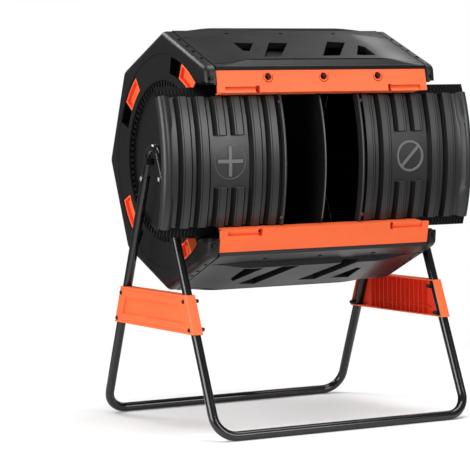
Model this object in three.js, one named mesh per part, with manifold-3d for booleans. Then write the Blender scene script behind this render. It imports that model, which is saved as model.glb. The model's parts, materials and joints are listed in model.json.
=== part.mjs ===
// Dual-chamber compost tumbler on a tubular stand. Millimetres, +Z up, +X along the axle.
// The doors face -Y. The origin is on the ground under the middle of the axle.

import * as THREE from 'three';
import { mergeVertices } from 'three/addons/utils/BufferGeometryUtils.js';
import Module from 'manifold-3d';

const wasm = await Module();
wasm.setup();

// Driving dimensions
const GAP = 0.3; // clearance between pieces that touch
const AXLE_HEIGHT = 625;
const DRUM_RADIUS = 305; // axle to the octagon's corners
const WALL = 4; // moulded plastic
const PANEL_HALF_LENGTH = 280;
const CAP_DEPTH = 28;
const CAP_SHOULDER = 14; // rounded edge of the end caps
const PLATEAU_HEIGHT = 11; // raised middle of each side panel
const PLATEAU_FOOT = 222;
const PLATEAU_TOP = 174;
const PLATEAU_HALF_WIDTH = 78;

const RAIL_OUTER = { front: 215.7, up: 206.5 }; // outer edge of each door rail, from the axle
const RAIL_INNER = { front: 226.8, up: 156 };
const RAIL_LIP = { front: 185, up: 150.5 };
const RAIL_WALL = 3.5;

const DOOR_RADIUS = 460; // outside of the arched door shell
const DOOR_CENTRE = 255; // behind the axle
const DOOR_WALL = 4;
const DOOR_INNER_END = 102;
const DOOR_OUTER_END = 415;
const DOOR_FLANGE_UP = 170;
const DOOR_FACE_UP = 147;
const RIB_COUNT = 6;
const RIB_PITCH = 45.2;
const RIB_WIDTH = 27;
const RIB_HEIGHT = 10;
const RIB_MIDDLE = 242;
const SIGN_HALF_HEIGHT = 59; // gap in the middle ribs, for the sign
const LIP_HEIGHT = 18;
const LIP_WIDTH = 5;
const GRIP_LIP_WIDTH = 14;
const GRIP_LIP_HEIGHT = 15;

// Each hand-hold is a pocket between two angles, from the front over the top to the back. Its
// grip fills the pocket as far as gripEnd, and the rest is open.
const HAND_HOLDS = [
  { start: 47, gripEnd: 66.5, end: 79 },
  { start: 126, gripEnd: 145.5, end: 158 },
  { start: 203, gripEnd: 222.5, end: 235 },
  { start: 291, gripEnd: 302.5, end: 311.5 },
];
const HAND_HOLD_RADIUS = { inner: 207, outer: 247 };
const HAND_HOLD_DEPTH = 22;
const FACE_RECESS_RADIUS = 188;
const FACE_RECESS_DEPTH = 6;

const SCREW_SPACING = 147;
const RAIL_SCREW = { front: 219, up: 191.4 };
const CAP_SCREW = { x: 295.6, front: 221.8, up: 189 };
const PANEL_SCREW_ACROSS = 86; // from the middle of a panel towards its rail
const SMALL_SCREW = { length: 12, radius: 2.5, headRadius: 4.5, headHeight: 2.5 };
const SCREW_HOLE_RADIUS = 3;
const SCREW_SEAT = 1.4; // from the hole's middle out to the underside of the head

const DIVIDER_HALF_THICKNESS = 3;
const DIVIDER_ARCH_RADIUS = 448;
const DIVIDER_FRONT = 223;
const DIVIDER_HOLE_RADIUS = 9.5; // turns clear of the square axle's corners
const AXLE_SIDE = 12; // square steel bar
const AXLE_HALF_LENGTH = 352;
const AXLE_CAP_LENGTH = 14;
const BUSH_RADIUS = 17;
const BRACKET_HALF_THICKNESS = 2.5;
const HUB_RADIUS = 30;

const TUBE_RADIUS = 11;
const TUBE_WALL = 1.5;
const TUBE_SIDES = 16;
const STAND_X = 334.6; // plane of each pair of legs
const LEG_SPREAD = 29.9; // from the axle's plane to a leg's line, at axle height
const LEG_SLOPE = 0.43;
const TOP_BEND_RADIUS = 25;
const BASE_BEND_RADIUS = 50;
const TOP_JOINT_DROP = 34; // below the axle
const TOP_SCREW_DROP = 41;
const BASE_JOINT_X = 25;

const BRACE_TOP = 323;
const BRACE_BOTTOM = 235;
const BRACE_WALL = 3;
const BRACE_DEPTH = 26;
const BOLT_HEIGHTS = [308, 245];
const BOLT_RADIUS = 3;
const BOLT_HEAD_RADIUS = 5.5;
const TOP_SCREW = { length: 8, radius: BOLT_RADIUS, headRadius: BOLT_HEAD_RADIUS, headHeight: 3 };
const HOLE_CLEARANCE = 0.4;

const blackPlastic = new THREE.MeshStandardMaterial({ color: 0x2c2c2e, roughness: 0.55, metalness: 0 });
const doorPlastic = new THREE.MeshStandardMaterial({ color: 0x353537, roughness: 0.45, metalness: 0 });
const orangePlastic = new THREE.MeshStandardMaterial({ color: 0xf4572a, roughness: 0.45, metalness: 0 });
const blackPaint = new THREE.MeshStandardMaterial({ color: 0x141414, roughness: 0.25, metalness: 0.3 });
const greySteel = new THREE.MeshStandardMaterial({ color: 0x55585a, roughness: 0.4, metalness: 0.8 });
const brightSteel = new THREE.MeshStandardMaterial({ color: 0xb8babc, roughness: 0.3, metalness: 1 });
const darkSteel = new THREE.MeshStandardMaterial({ color: 0x1b1b1c, roughness: 0.4, metalness: 0.8 });

// Solids
function toSolid(geometry) {
  const plain = geometry.clone();
  plain.deleteAttribute('normal');
  plain.deleteAttribute('uv');
  const merged = mergeVertices(plain, 1e-4);
  return new wasm.Manifold(new wasm.Mesh({
    numProp: 3,
    vertProperties: new Float32Array(merged.attributes.position.array),
    triVerts: new Uint32Array(merged.index.array),
  }));
}

function toGeometry(solid) {
  const mesh = solid.getMesh();
  const geometry = new THREE.BufferGeometry();
  geometry.setAttribute('position', new THREE.BufferAttribute(new Float32Array(mesh.vertProperties), 3));
  geometry.setIndex(new THREE.BufferAttribute(new Uint32Array(mesh.triVerts), 1));
  geometry.computeVertexNormals();
  return geometry;
}

function named(name, geometry, material) {
  const mesh = new THREE.Mesh(geometry, material);
  mesh.name = name;
  return mesh;
}

function shapeOf(points) {
  return new THREE.Shape(points.map(([a, b]) => new THREE.Vector2(a, b)));
}

// A cross-section drawn as (y, z) points, drawn out along the axle from x0 to x1.
function alongAxle(shape, x0, x1, bevel = 0) {
  const geometry = new THREE.ExtrudeGeometry(shape, {
    depth: x1 - x0 - 2 * bevel,
    bevelEnabled: bevel > 0,
    bevelThickness: bevel,
    bevelSize: bevel,
    bevelOffset: -bevel,
    bevelSegments: 3,
    curveSegments: 24,
  });
  geometry.translate(0, 0, x0 + bevel);
  const axes = new THREE.Matrix4().makeBasis(
    new THREE.Vector3(0, 1, 0), new THREE.Vector3(0, 0, 1), new THREE.Vector3(1, 0, 0));
  return geometry.applyMatrix4(axes);
}

// A cylinder along the axle's direction.
function rod(radius, x0, x1, y, z, sides = 12) {
  const geometry = new THREE.CylinderGeometry(radius, radius, x1 - x0, sides);
  geometry.rotateZ(Math.PI / 2);
  return geometry.translate((x0 + x1) / 2, y, z);
}

function block(x0, x1, y0, y1, z0, z1) {
  const geometry = new THREE.BoxGeometry(x1 - x0, y1 - y0, z1 - z0);
  return geometry.translate((x0 + x1) / 2, (y0 + y1) / 2, (z0 + z1) / 2);
}

// The same piece on the left: each triangle is turned over, so that it still faces outwards.
function mirrored(geometry) {
  const copy = geometry.clone().scale(-1, 1, 1);
  const corners = copy.index.array;
  for (let i = 0; i < corners.length; i += 3) {
    [corners[i], corners[i + 1]] = [corners[i + 1], corners[i]];
  }
  copy.computeVertexNormals();
  return copy;
}

// Points on the drum's cross-section. Angles run from the front, over the top, to the back.
function ringPoint(degrees, radius) {
  const angle = THREE.MathUtils.degToRad(degrees);
  return [-radius * Math.cos(angle), radius * Math.sin(angle)];
}

// Points of an arc that bulges to the front, from the lower end to the upper one.
function frontArc(radius, centre, up, steps = 12) {
  const points = [];
  for (let i = 0; i <= steps; i += 1) {
    const z = -up + (2 * up * i) / steps;
    points.push([centre - Math.sqrt(radius * radius - z * z), z]);
  }
  return points;
}

// Outline of the drum: an octagon, with its front corner cut back to an arch for the doors.
function drumOutline(radius, railInset, archRadius, archUp) {
  const corners = [90, 135, 180, 225, 270].map((degrees) => ringPoint(degrees, radius));
  const shoulder = ringPoint(45, radius);
  const edge = [-(RAIL_INNER.front - railInset - 1.5), archUp];
  const arch = frontArc(archRadius, DOOR_CENTRE, archUp);
  const lower = [[shoulder[0], -shoulder[1]], [edge[0], -edge[1]]];
  const upper = [edge, shoulder];
  return shapeOf([...corners, ...lower, ...arch, ...upper]);
}

// Drum
const CAP_START = PANEL_HALF_LENGTH + 2 * GAP;
const CAP_FACE = CAP_START + CAP_DEPTH;
const ARCH_UP = DOOR_FLANGE_UP + 4;

// A sector of the end face between two angles; grow moves its edges outwards.
function faceSector(from, to, grow) {
  const inner = HAND_HOLD_RADIUS.inner - grow;
  const outer = HAND_HOLD_RADIUS.outer + grow;
  const slack = THREE.MathUtils.radToDeg(grow / inner);
  const turns = [0, 1, 2, 3].map((i) => from - slack + ((to - from + 2 * slack) * i) / 3);
  return shapeOf([
    ...turns.map((degrees) => ringPoint(degrees, outer)),
    ...turns.reverse().map((degrees) => ringPoint(degrees, inner)),
  ]);
}

function endCap() {
  const clearRadius = DOOR_RADIUS - DOOR_WALL - 3;
  const outer = drumOutline(DRUM_RADIUS, 0, clearRadius, ARCH_UP);
  const inner = drumOutline(DRUM_RADIUS - 6, 6, clearRadius - 6, ARCH_UP + 6);
  const backing = CAP_FACE - FACE_RECESS_DEPTH - WALL;
  let cap = toSolid(alongAxle(outer, CAP_START - 2 * CAP_SHOULDER, CAP_FACE, CAP_SHOULDER));
  cap = cap.subtract(toSolid(block(CAP_START - 3 * CAP_SHOULDER, CAP_START, -400, 400, -400, 400)));
  cap = cap.subtract(toSolid(alongAxle(inner, CAP_START - 1, CAP_FACE - WALL)));
  cap = cap.add(toSolid(rod(FACE_RECESS_RADIUS + 6, backing, CAP_FACE - 1, 0, 0, 40)));
  cap = cap.subtract(toSolid(rod(FACE_RECESS_RADIUS, CAP_FACE - FACE_RECESS_DEPTH, CAP_FACE + 1, 0, 0, 40)));
  cap = cap.add(toSolid(rod(HUB_RADIUS, CAP_START - 12, CAP_FACE, 0, 0, 24)));
  cap = cap.subtract(toSolid(rod(BUSH_RADIUS + HOLE_CLEARANCE, CAP_START - 20, CAP_FACE + 10, 0, 0, 24)));
  for (const { start, end } of HAND_HOLDS) {
    const cup = alongAxle(faceSector(start, end, 3), CAP_FACE - HAND_HOLD_DEPTH - 3, CAP_FACE - 1);
    const pocket = alongAxle(faceSector(start, end, 0), CAP_FACE - HAND_HOLD_DEPTH, CAP_FACE + 1);
    cap = cap.add(toSolid(cup)).subtract(toSolid(pocket));
  }
  for (const side of [-1, 1]) {
    cap = cap.subtract(toSolid(capScrewHole(side)));
  }
  return toGeometry(cap);
}

function handGrip({ start, gripEnd }) {
  const outline = faceSector(start, gripEnd, -2);
  return toGeometry(toSolid(alongAxle(outline, CAP_FACE - HAND_HOLD_DEPTH + GAP, CAP_FACE - 1)));
}

function capScrewHole(side) {
  return screwHole().translate(CAP_SCREW.x, -CAP_SCREW.front, side * CAP_SCREW.up);
}

// A hole for a small screw, along y.
function screwHole() {
  return new THREE.CylinderGeometry(SCREW_HOLE_RADIUS, SCREW_HOLE_RADIUS, 2 * SMALL_SCREW.length, 12);
}

// A screw with its head at the top and its point down, along z.
function screw({ length, radius, headRadius, headHeight }) {
  const profile = [[0, -length], [radius, -length], [radius, 0], [headRadius, 0],
    [headRadius, headHeight * 0.6], [headRadius * 0.6, headHeight], [0, headHeight]];
  const geometry = new THREE.LatheGeometry(profile.map(([r, h]) => new THREE.Vector2(r, h)), 12);
  return toGeometry(toSolid(geometry.rotateX(Math.PI / 2)));
}

// A profile drawn as (x, z) points, drawn out along y to both sides.
function acrossPanel(points, halfWidth) {
  const geometry = new THREE.ExtrudeGeometry(shapeOf(points), { depth: 2 * halfWidth, bevelEnabled: false });
  return geometry.translate(0, 0, -halfWidth).rotateX(Math.PI / 2);
}

// One flat side of the octagon, with its outer face at z = 0. A panel beside a door rail has a
// lip along that edge: lipSide is -1 or 1 for the edge at -y or +y, and 0 for no lip.
function sidePanel(lipSide, screwHoles) {
  const half = DRUM_RADIUS * Math.sin(Math.PI / 8) - GAP;
  const mitre = WALL * Math.tan(Math.PI / 8);
  const plain = [[half, 0], [half - mitre, -WALL]];
  const lipped = [[half, 0], [half + 3.3, -8], [half - 0.2, -9.4], [half - 2.5, -WALL]];
  const right = lipSide === 1 ? lipped : plain;
  const left = (lipSide === -1 ? lipped : plain).map(([y, z]) => [-y, z]).reverse();
  let panel = toSolid(alongAxle(shapeOf([...left, ...right]), -PANEL_HALF_LENGTH, PANEL_HALF_LENGTH));
  const outer = [[-PLATEAU_FOOT, -1], [PLATEAU_FOOT, -1],
    [PLATEAU_TOP, PLATEAU_HEIGHT], [-PLATEAU_TOP, PLATEAU_HEIGHT]];
  const inner = [[-PLATEAU_FOOT + 4, -WALL - 1], [PLATEAU_FOOT - 4, -WALL - 1],
    [PLATEAU_TOP - 2, PLATEAU_HEIGHT - WALL], [-PLATEAU_TOP + 2, PLATEAU_HEIGHT - WALL]];
  panel = panel.add(toSolid(acrossPanel(outer, PLATEAU_HALF_WIDTH)));
  panel = panel.subtract(toSolid(acrossPanel(inner, PLATEAU_HALF_WIDTH - WALL)));
  for (const x of screwHoles) {
    const hole = screwHole().rotateX(Math.PI / 2);
    panel = panel.subtract(toSolid(hole.translate(x, lipSide * PANEL_SCREW_ACROSS, 0)));
  }
  return toGeometry(panel);
}

// A door rail is a folded strip: a front face, and a return that guides the door's flange.
function doorRail(side, screwHoles) {
  const along = new THREE.Vector2(RAIL_INNER.front - RAIL_OUTER.front, RAIL_INNER.up - RAIL_OUTER.up);
  along.normalize();
  const inward = new THREE.Vector2(along.y, -along.x).multiplyScalar(RAIL_WALL);
  const profile = [
    [RAIL_OUTER.front, RAIL_OUTER.up - GAP],
    [RAIL_INNER.front, RAIL_INNER.up],
    [RAIL_LIP.front, RAIL_LIP.up],
    [RAIL_LIP.front, RAIL_LIP.up + RAIL_WALL],
    [RAIL_INNER.front - 4.2, RAIL_INNER.up + RAIL_WALL],
    [RAIL_OUTER.front + inward.x, RAIL_OUTER.up - GAP + inward.y],
  ];
  const shape = shapeOf(profile.map(([front, up]) => [-front, side * up]));
  let rail = toSolid(alongAxle(shape, -PANEL_HALF_LENGTH, PANEL_HALF_LENGTH));
  for (const x of screwHoles) {
    const hole = screwHole().translate(x, -RAIL_SCREW.front, side * RAIL_SCREW.up);
    rail = rail.subtract(toSolid(hole));
  }
  return toGeometry(rail);
}

function centerDivider() {
  const inRadius = DRUM_RADIUS * Math.cos(Math.PI / 8) - WALL - 1;
  const radius = inRadius / Math.cos(Math.PI / 8);
  const corners = [90, 135, 180, 225, 270].map((degrees) => ringPoint(degrees, radius));
  const frontSide = RAIL_LIP.front - 6;
  const shoulder = ringPoint(45, radius);
  const rise = (radius - shoulder[1]) / -shoulder[0];
  const corner = [-frontSide, radius - rise * frontSide];
  const arch = frontArc(DIVIDER_ARCH_RADIUS, DIVIDER_ARCH_RADIUS - DIVIDER_FRONT, RAIL_LIP.up - 3);
  const archEnd = [-frontSide, RAIL_LIP.up - 3];
  const lower = [[corner[0], -corner[1]], [archEnd[0], -archEnd[1]]];
  const shape = shapeOf([...corners, ...lower, ...arch, archEnd, corner]);
  const divider = toSolid(alongAxle(shape, -DIVIDER_HALF_THICKNESS, DIVIDER_HALF_THICKNESS));
  return toGeometry(divider.subtract(toSolid(rod(DIVIDER_HOLE_RADIUS, -20, 20, 0, 0, 24))));
}

// A curved bar of the door's section, between two radii, from one height to another.
function archedBar(inner, outer, low, high, x0, x1) {
  const steps = Math.max(2, Math.round((high - low) / 28));
  const heights = Array.from({ length: steps + 1 }, (_, i) => low + ((high - low) * i) / steps);
  const arc = (radius) => heights.map((z) => [DOOR_CENTRE - Math.sqrt(radius * radius - z * z), z]);
  return alongAxle(shapeOf([...arc(outer), ...arc(inner).reverse()]), x0, x1);
}

// The right-hand door: an arched shell with ribs, a raised rim at its inner end, and a lip to pull.
function slidingDoor() {
  const root = DOOR_RADIUS - 1;
  let door = toSolid(archedBar(DOOR_RADIUS - DOOR_WALL, DOOR_RADIUS, -DOOR_FLANGE_UP, DOOR_FLANGE_UP,
    DOOR_INNER_END, DOOR_OUTER_END));
  for (let i = 0; i < RIB_COUNT; i += 1) {
    const x = RIB_MIDDLE + (i - (RIB_COUNT - 1) / 2) * RIB_PITCH;
    const broken = i === RIB_COUNT / 2 - 1 || i === RIB_COUNT / 2;
    const spans = broken
      ? [[-DOOR_FACE_UP, -SIGN_HALF_HEIGHT], [SIGN_HALF_HEIGHT, DOOR_FACE_UP]]
      : [[-DOOR_FACE_UP, DOOR_FACE_UP]];
    for (const [low, high] of spans) {
      const rib = archedBar(root, DOOR_RADIUS + RIB_HEIGHT, low, high, x - RIB_WIDTH / 2, x + RIB_WIDTH / 2);
      door = door.add(toSolid(rib));
    }
  }
  const rim = archedBar(root, DOOR_RADIUS + LIP_HEIGHT, -DOOR_FACE_UP, DOOR_FACE_UP,
    DOOR_INNER_END, DOOR_INNER_END + LIP_WIDTH);
  const pull = archedBar(root, DOOR_RADIUS + GRIP_LIP_HEIGHT, -DOOR_FACE_UP, DOOR_FACE_UP,
    DOOR_OUTER_END - GRIP_LIP_WIDTH, DOOR_OUTER_END);
  return toGeometry(door.add(toSolid(rim)).add(toSolid(pull)));
}

function hubBush() {
  const profile = [[0, CAP_START - 16], [BUSH_RADIUS, CAP_START - 16], [BUSH_RADIUS, CAP_FACE + 3],
    [BUSH_RADIUS + 9, CAP_FACE + 3], [BUSH_RADIUS + 9, CAP_FACE + 7], [BUSH_RADIUS, CAP_FACE + 7],
    [BUSH_RADIUS, STAND_X - TUBE_RADIUS - 2], [0, STAND_X - TUBE_RADIUS - 2]];
  const lathe = new THREE.LatheGeometry(profile.map(([r, h]) => new THREE.Vector2(r, h)), 24);
  const half = AXLE_SIDE / 2 + GAP;
  const solid = toSolid(lathe.rotateZ(-Math.PI / 2));
  return toGeometry(solid.subtract(toSolid(block(200, 400, -half, half, -half, half))));
}

// Stand
function legOffset(drop) {
  return LEG_SPREAD + LEG_SLOPE * drop;
}

// A path of two straight runs joined by an arc, with its sections square to it all the way.
class BentPath extends THREE.Curve {
  constructor(start, corner, end, radius, arcSteps) {
    super();
    const first = corner.clone().sub(start).normalize();
    const second = end.clone().sub(corner).normalize();
    const turn = Math.acos(first.dot(second));
    const reach = radius * Math.tan(turn / 2);
    const towards = second.clone().addScaledVector(first, -Math.cos(turn)).divideScalar(Math.sin(turn));
    const centre = corner.clone().addScaledVector(first, -reach).addScaledVector(towards, radius);
    this.points = [start];
    this.directions = [first];
    for (let i = 0; i <= arcSteps; i += 1) {
      const angle = (turn * i) / arcSteps;
      this.points.push(centre.clone().addScaledVector(towards, -radius * Math.cos(angle))
        .addScaledVector(first, radius * Math.sin(angle)));
      this.directions.push(first.clone().multiplyScalar(Math.cos(angle))
        .addScaledVector(towards, Math.sin(angle)));
    }
    this.points.push(end);
    this.directions.push(second);
    this.square = new THREE.Vector3().crossVectors(first, second).normalize();
  }

  getSpacedPoints() {
    return this.points;
  }

  computeFrenetFrames() {
    const binormals = this.directions.map(() => this.square);
    const normals = this.directions.map((along) => new THREE.Vector3().crossVectors(this.square, along));
    return { tangents: this.directions, normals, binormals };
  }
}

// A round tube along a bent path, turned so that one of its facets faces straight down at its end.
function bentTube(path) {
  const steps = path.points.length - 1;
  const last = path.computeFrenetFrames().normals[steps];
  const twist = Math.atan2(-path.square.z, -last.z);
  const ring = (radius) => {
    const corner = radius / Math.cos(Math.PI / TUBE_SIDES);
    return Array.from({ length: TUBE_SIDES }, (_, i) => {
      const angle = twist + ((i + 0.5) * 2 * Math.PI) / TUBE_SIDES;
      return new THREE.Vector2(corner * Math.cos(angle), corner * Math.sin(angle));
    });
  };
  const shape = new THREE.Shape(ring(TUBE_RADIUS));
  shape.holes.push(new THREE.Path(ring(TUBE_RADIUS - TUBE_WALL)));
  return new THREE.ExtrudeGeometry(shape, { steps, extrudePath: path, bevelEnabled: false });
}

function topBend() {
  const drop = TOP_JOINT_DROP;
  const peak = LEG_SPREAD / LEG_SLOPE;
  const path = new BentPath(
    new THREE.Vector3(STAND_X, -legOffset(drop), -drop), new THREE.Vector3(STAND_X, 0, peak),
    new THREE.Vector3(STAND_X, legOffset(drop), -drop), TOP_BEND_RADIUS, 8);
  return toGeometry(toSolid(bentTube(path)));
}

// The right-hand legs. side is -1 for the front leg and 1 for the rear one.
function leg(side, baseEnd) {
  const drop = AXLE_HEIGHT - TUBE_RADIUS;
  const top = TOP_JOINT_DROP + GAP;
  const path = new BentPath(
    new THREE.Vector3(STAND_X, side * legOffset(top), -top),
    new THREE.Vector3(STAND_X, side * legOffset(drop), -drop),
    new THREE.Vector3(baseEnd, side * legOffset(drop), -drop), BASE_BEND_RADIUS, 6);
  let tube = toSolid(bentTube(path));
  const screwRadius = BOLT_RADIUS + HOLE_CLEARANCE;
  const topHole = rod(screwRadius, STAND_X, STAND_X + 20, side * legOffset(TOP_SCREW_DROP), -TOP_SCREW_DROP);
  tube = tube.subtract(toSolid(topHole));
  for (const height of BOLT_HEIGHTS) {
    const boltDrop = AXLE_HEIGHT - height;
    const hole = rod(screwRadius, STAND_X - 30, STAND_X + 30, side * legOffset(boltDrop), -boltDrop);
    tube = tube.subtract(toSolid(hole));
  }
  return toGeometry(tube);
}

function axleBracket() {
  const centre = LEG_SPREAD / LEG_SLOPE - TOP_BEND_RADIUS / Math.sin(Math.atan(LEG_SLOPE));
  const inner = TOP_BEND_RADIUS - TUBE_RADIUS - 2 * GAP;
  const lean = Math.atan(LEG_SLOPE);
  const foot = [legOffset(TOP_JOINT_DROP) - (TUBE_RADIUS + 2 * GAP) / Math.cos(lean), -TOP_JOINT_DROP];
  const shape = new THREE.Shape();
  shape.moveTo(-foot[0], foot[1]);
  shape.lineTo(foot[0], foot[1]);
  shape.absarc(0, centre, inner, lean, Math.PI - lean, false);
  const plate = alongAxle(shape, STAND_X - BRACKET_HALF_THICKNESS, STAND_X + BRACKET_HALF_THICKNESS);
  const half = AXLE_SIDE / 2 + GAP;
  return toGeometry(toSolid(plate).subtract(toSolid(block(300, 400, -half, half, -half, half))));
}

// The right-hand brace: a panel outside the legs, folded in over them and along top and bottom.
function legBrace() {
  const lean = Math.atan(LEG_SLOPE);
  const beyond = (distance) => distance / Math.cos(lean);
  const edge = (height, distance) => legOffset(AXLE_HEIGHT - height) + beyond(distance);
  const drop = (height) => height - AXLE_HEIGHT;
  const faceX = STAND_X + TUBE_RADIUS + GAP;
  const trapezoid = (low, high, distance) => shapeOf([
    [-edge(low, distance), drop(low)], [edge(low, distance), drop(low)],
    [edge(high, distance), drop(high)], [-edge(high, distance), drop(high)]]);
  const outside = TUBE_RADIUS + GAP + BRACE_WALL;
  const inside = -TUBE_RADIUS - 2;
  let brace = toSolid(alongAxle(trapezoid(BRACE_BOTTOM, BRACE_TOP, outside), faceX, faceX + BRACE_WALL));
  for (const side of [-1, 1]) {
    const fold = shapeOf([
      [side * edge(BRACE_BOTTOM, outside - BRACE_WALL), drop(BRACE_BOTTOM)],
      [side * edge(BRACE_BOTTOM, outside), drop(BRACE_BOTTOM)],
      [side * edge(BRACE_TOP, outside), drop(BRACE_TOP)],
      [side * edge(BRACE_TOP, outside - BRACE_WALL), drop(BRACE_TOP)]]);
    brace = brace.add(toSolid(alongAxle(fold, faceX + BRACE_WALL - BRACE_DEPTH, faceX + 1)));
  }
  const flanges = [[BRACE_TOP - BRACE_WALL, BRACE_TOP], [BRACE_BOTTOM, BRACE_BOTTOM + BRACE_WALL]];
  for (const [low, high] of flanges) {
    const flange = trapezoid(low, high, inside);
    brace = brace.add(toSolid(alongAxle(flange, faceX + BRACE_WALL - BRACE_DEPTH, faceX + 1)));
  }
  for (const height of BOLT_HEIGHTS) {
    for (const side of [-1, 1]) {
      const y = side * legOffset(AXLE_HEIGHT - height);
      brace = brace.subtract(toSolid(rod(BOLT_RADIUS + HOLE_CLEARANCE, 300, 380, y, drop(height))));
    }
  }
  return toGeometry(brace);
}

// A bolt through a leg and its brace, along the axle's direction, with a nut on the inside.
function braceBolt() {
  const outer = STAND_X + TUBE_RADIUS + 2 * GAP + BRACE_WALL;
  const inner = STAND_X - TUBE_RADIUS - GAP;
  const profile = [[0, inner - 4], [BOLT_HEAD_RADIUS, inner - 4], [BOLT_HEAD_RADIUS, inner],
    [BOLT_RADIUS, inner], [BOLT_RADIUS, outer], [BOLT_HEAD_RADIUS, outer],
    [BOLT_HEAD_RADIUS * 0.7, outer + 2.5], [0, outer + 2.5]];
  const lathe = new THREE.LatheGeometry(profile.map(([r, h]) => new THREE.Vector2(r, h)), 12);
  return toGeometry(toSolid(lathe.rotateZ(-Math.PI / 2)));
}

function axleEndCap() {
  const outer = block(AXLE_HALF_LENGTH - 9, AXLE_HALF_LENGTH - 9 + AXLE_CAP_LENGTH, -7.5, 7.5, -7.5, 7.5);
  const half = AXLE_SIDE / 2 + GAP;
  const socket = block(AXLE_HALF_LENGTH - 10, AXLE_HALF_LENGTH + GAP, -half, half, -half, half);
  return toGeometry(toSolid(outer).subtract(toSolid(socket)));
}

// Assembly
const tumbler = new THREE.Group();
tumbler.position.set(0, 0, AXLE_HEIGHT);
const stand = new THREE.Group();
const drum = new THREE.Group();
tumbler.add(stand, drum);

function addPair(group, name, geometry, material) {
  group.add(named(`right_${name}`, geometry, material), named(`left_${name}`, mirrored(geometry), material));
}

const PANELS = [ // name, where it faces, which edge has the lip
  ['upper_front_panel', 67.5, -1],
  ['upper_rear_panel', 112.5, 0],
  ['rear_upper_panel', 157.5, 0],
  ['rear_lower_panel', 202.5, 0],
  ['lower_rear_panel', 247.5, 0],
  ['lower_front_panel', 292.5, 1],
];
const screwPlaces = [-SCREW_SPACING, 0, SCREW_SPACING];
for (const [name, degrees, lipSide] of PANELS) {
  const holes = name === 'lower_front_panel' ? screwPlaces : [];
  const panel = named(name, sidePanel(lipSide, holes), blackPlastic);
  const [y, z] = ringPoint(degrees, DRUM_RADIUS * Math.cos(Math.PI / 8));
  panel.position.set(0, y, z);
  panel.rotation.x = THREE.MathUtils.degToRad(90 - degrees);
  drum.add(panel);
  holes.forEach((x, i) => {
    const fastener = named(`lower_rail_screw_${i + 1}`, screw(SMALL_SCREW), darkSteel);
    fastener.position.set(x, PANEL_SCREW_ACROSS, GAP);
    const holder = new THREE.Group();
    holder.position.copy(panel.position);
    holder.rotation.copy(panel.rotation);
    holder.add(fastener);
    drum.add(holder);
  });
}

drum.add(named('upper_door_rail', doorRail(1, screwPlaces), orangePlastic));
drum.add(named('lower_door_rail', doorRail(-1, []), orangePlastic));
drum.add(named('center_divider', centerDivider(), blackPlastic));
screwPlaces.forEach((x, i) => {
  const fastener = named(`upper_rail_screw_${i + 1}`, screw(SMALL_SCREW), darkSteel);
  fastener.position.set(x, -RAIL_SCREW.front - SCREW_SEAT, RAIL_SCREW.up);
  fastener.rotation.x = Math.PI / 2;
  drum.add(fastener);
});

addPair(drum, 'end_cap', endCap(), blackPlastic);
HAND_HOLDS.forEach((hold, i) => addPair(drum, `grip_${i + 1}`, handGrip(hold), orangePlastic));
for (const [name, side] of [['upper', 1], ['lower', -1]]) {
  const fastener = screw(SMALL_SCREW).rotateX(Math.PI / 2);
  fastener.translate(CAP_SCREW.x, -CAP_SCREW.front - SCREW_SEAT, side * CAP_SCREW.up);
  addPair(drum, `cap_${name}_screw`, fastener, darkSteel);
}
addPair(drum, 'door', slidingDoor(), doorPlastic);

stand.add(named('axle', block(-AXLE_HALF_LENGTH, AXLE_HALF_LENGTH, -AXLE_SIDE / 2, AXLE_SIDE / 2,
  -AXLE_SIDE / 2, AXLE_SIDE / 2), blackPaint));
addPair(stand, 'axle_end_cap', axleEndCap(), blackPlastic);
addPair(stand, 'hub_bush', hubBush(), blackPlastic);
addPair(stand, 'top_bend', topBend(), blackPaint);
addPair(stand, 'axle_bracket', axleBracket(), greySteel);
addPair(stand, 'leg_brace', legBrace(), orangePlastic);

// The front base rails meet right of the middle and the rear ones left of it.
const rightFrontLeg = leg(-1, BASE_JOINT_X + GAP);
const rightRearLeg = leg(1, -BASE_JOINT_X + GAP);
const halfTurn = (geometry) => geometry.clone().rotateZ(Math.PI);
stand.add(named('right_front_leg', rightFrontLeg, blackPaint));
stand.add(named('right_rear_leg', rightRearLeg, blackPaint));
stand.add(named('left_rear_leg', halfTurn(rightFrontLeg), blackPaint));
stand.add(named('left_front_leg', halfTurn(rightRearLeg), blackPaint));

const bolt = braceBolt();
const topScrew = screw(TOP_SCREW).rotateY(Math.PI / 2);
topScrew.translate(STAND_X + TUBE_RADIUS + GAP, 0, 0);
for (const [place, side] of [['front', -1], ['rear', 1]]) {
  const screwHere = topScrew.clone().translate(0, side * legOffset(TOP_SCREW_DROP), -TOP_SCREW_DROP);
  addPair(stand, `${place}_top_screw`, screwHere, brightSteel);
  BOLT_HEIGHTS.forEach((height, i) => {
    const drop = AXLE_HEIGHT - height;
    const boltHere = bolt.clone().translate(0, side * legOffset(drop), -drop);
    addPair(stand, `${place}_brace_bolt_${i + 1}`, boltHere, darkSteel);
  });
}

export default tumbler;
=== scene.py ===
# Two-chamber compost tumbler, doors open, on its tubular stand.
# Shapes are drawn in millimetres from the middle of the axle: x along it, -y to the doors, z up.
# makePiece turns them into metres, at the axle's height.

import json
import math

import bmesh
import bpy
from mathutils import Matrix, Vector


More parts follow.
